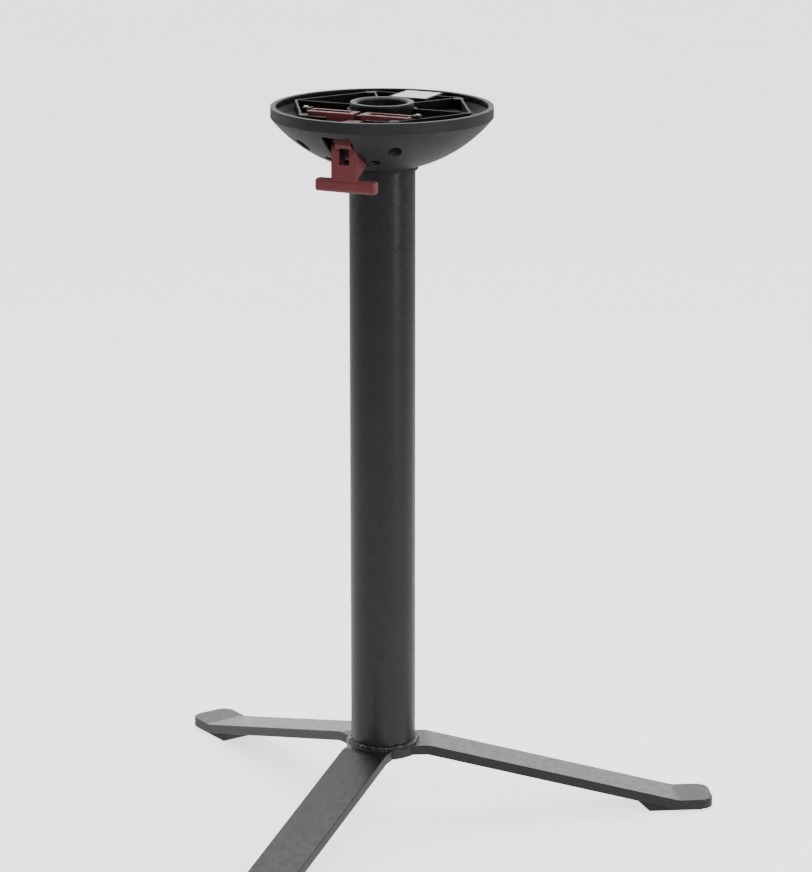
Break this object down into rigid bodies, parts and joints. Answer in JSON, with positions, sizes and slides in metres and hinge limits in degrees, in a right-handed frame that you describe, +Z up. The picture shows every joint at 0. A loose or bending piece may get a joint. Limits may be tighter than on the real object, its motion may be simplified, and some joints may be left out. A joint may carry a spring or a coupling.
{
  "type": "batting tee",
  "caption": "Free-standing pedestal batting tee: three bent flat-bar legs, a tubular column and a dish head with a cupped ball seat and a squeeze-release T lever.",
  "frame": {"origin": "on the floor, on the axis of the column", "axes": "+Z up along the column; the front leg and the release lever point along -Y; +X to the right"},
  "size_m": [0.7026, 0.6128, 0.8575],
  "materials": {
    "frame_coat": "satin charcoal powder coat",
    "foot_rubber": "matt moulded rubber",
    "head_plastic": "lightly grained charcoal moulding",
    "tray_plastic": "black moulding, satin on the rib edges",
    "rim_trim": "satin black",
    "lever_plastic": "dark red moulding",
    "seat_rubber": "matt black",
    "seat_plastic": "black moulding",
    "zinc_steel": "zinc plated",
    "black_steel": "black oxide",
    "weld_coat": "powder coat over a weld bead",
    "label_paper": "blank white label"
  },
  "bodies": {
    "stand": {"hub_disc": "frame_coat", "leg_front": "frame_coat", "leg_left": "frame_coat", "leg_right": "frame_coat", "column_tube": "frame_coat", "column_weld": "weld_coat", "leg_welds": "weld_coat", "foot_front": "foot_rubber", "foot_left": "foot_rubber", "foot_right": "foot_rubber", "head_flange": "frame_coat", "flange_weld": "weld_coat", "flange_screws": "zinc_steel", "dish_shell": "head_plastic", "shell_screws": "zinc_steel", "deck_tray": "tray_plastic", "rim_band": "rim_trim", "label": "label_paper", "ball_seat": "seat_plastic", "seat_ring": "seat_rubber", "pivot_bracket": "black_steel", "bracket_screws": "black_steel", "lever_pin": "black_steel", "pin_clip": "black_steel", "latch_guide_left": "tray_plastic", "latch_guide_right": "tray_plastic", "guide_screws": "zinc_steel"},
    "lever": {"release_lever": "lever_plastic", "lever_spring": "zinc_steel"},
    "latch": {"latch_bar": "lever_plastic", "latch_bolt": "zinc_steel"}
  },
  "joints": [
    {"name": "lever_squeeze", "type": "hinge", "parent": "stand", "child": "lever", "pos_m": [0, -0.096, 0.828], "axis": [1, 0, 0], "range_deg": [0, 16], "stiffness_Nm_per_rad": 1.2, "springref_deg": -14.32},
    {"name": "latch_slide", "type": "slide", "parent": "stand", "child": "latch", "axis": [0, -1, 0], "range_m": [0, 0.0045]}
  ],
  "couplings": [
    {"joint": "latch_slide", "follows": "lever_squeeze", "m_per_rad": 0.0158}
  ]
}
